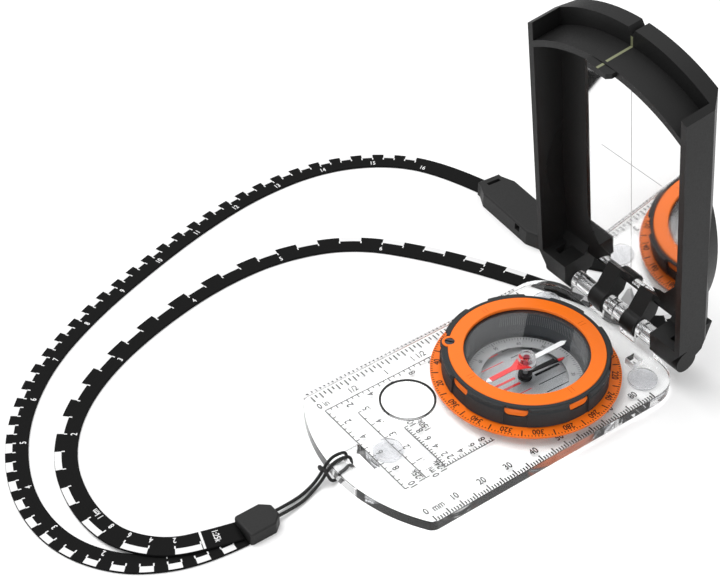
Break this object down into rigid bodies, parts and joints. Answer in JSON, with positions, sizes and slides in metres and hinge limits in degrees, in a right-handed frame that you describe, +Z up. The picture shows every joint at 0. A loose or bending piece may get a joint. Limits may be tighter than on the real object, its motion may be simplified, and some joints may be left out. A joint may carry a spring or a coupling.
{
  "type": "mirror sighting baseplate compass",
  "caption": "Clear baseplate compass with an orange turning bezel, liquid capsule and needle, a hinged black mirror cover, map scales and a flat scale lanyard with a clasp.",
  "frame": {"origin": "centre of the compass box without its lanyard, on the surface that it stands on", "axes": "+Z up, +Y from the front of the plate towards the hinge, +X towards the millimetre ruler"},
  "size_m": [0.1665, 0.2265, 0.119],
  "materials": {
    "clear_acrylic": "polished clear acrylic",
    "clear_silicone": "translucent soft pad",
    "orange_plastic": "satin moulded orange",
    "charcoal_rubber": "matte charcoal rubber",
    "black_plastic": "fine textured black",
    "grey_plastic": "satin dark grey",
    "smoke_plastic": "smoke grey translucent",
    "clear_capsule": "polished clear",
    "grey_scale": "frosted grey, printed",
    "black_ink": "black",
    "white_paint": "satin white",
    "red_paint": "satin red",
    "jewel": "polished",
    "polished_steel": "polished",
    "dark_steel": "blackened",
    "mirror_silver": "silvered",
    "foam_tape": "foam",
    "olive_inlay": "luminous line, pale olive",
    "black_webbing": "flat woven, white printed scale",
    "black_cord": "thin braided"
  },
  "bodies": {
    "base": {"baseplate": "clear_acrylic", "magnifier_lens": "clear_acrylic", "hinge_pin": "polished_steel", "foot_front": "clear_silicone", "foot_rear_left": "clear_silicone", "foot_rear_right": "clear_silicone", "strap_inner": "black_webbing", "strap_outer": "black_webbing", "lanyard_cord": "black_cord", "lanyard_toggle": "black_plastic", "clasp_socket": "grey_plastic", "clasp_plug": "grey_plastic"},
    "bezel": {"azimuth_ring": "orange_plastic", "bezel_retainer": "black_plastic", "grip_ring": "charcoal_rubber", "bezel_top_ring": "orange_plastic"},
    "screw": {"declination_screw": "dark_steel"},
    "capsule": {"capsule_body": "smoke_plastic", "capsule_lid": "clear_capsule", "clinometer_scale": "grey_scale", "orienting_arrow": "black_ink", "pivot_pin": "polished_steel"},
    "needle": {"needle_south_arm": "white_paint", "needle_north_arm": "red_paint", "needle_hub": "clear_capsule", "needle_magnet": "red_paint", "needle_jewel": "jewel"},
    "clinometer": {"clinometer_pointer": "black_ink"},
    "cover": {"cover_shell": "black_plastic", "mirror": "mirror_silver", "mirror_pad": "foam_tape", "sighting_line": "olive_inlay", "sighting_index": "white_paint"}
  },
  "joints": [
    {"name": "cover_hinge", "type": "hinge", "parent": "base", "child": "cover", "pos_m": [0, 0.05077, 0.0106], "axis": [1, 0, 0], "range_deg": [-85, 82.3]},
    {"name": "bezel_turn", "type": "hinge", "parent": "base", "child": "bezel", "pos_m": [0, 0.01237, 0.0052], "axis": [0, 0, 1], "continuous": true},
    {"name": "declination_turn", "type": "hinge", "parent": "bezel", "child": "capsule", "pos_m": [0, 0.01237, 0.0052], "axis": [0, 0, 1], "range_deg": [-25, 25]},
    {"name": "screw_turn", "type": "hinge", "parent": "bezel", "child": "screw", "pos_m": [-0.01715, -0.00442, 0.0142], "axis": [0, 0, 1], "range_deg": [-280, 280]},
    {"name": "needle_swing", "type": "hinge", "parent": "capsule", "child": "needle", "pos_m": [0, 0.01237, 0.0088], "axis": [0, 0, 1], "continuous": true},
    {"name": "clinometer_swing", "type": "hinge", "parent": "capsule", "child": "clinometer", "pos_m": [0, 0.01237, 0.0035], "axis": [0, 0, 1], "continuous": true}
  ],
  "couplings": [
    {"joint": "screw_turn", "follows": "declination_turn", "ratio": -11}
  ]
}
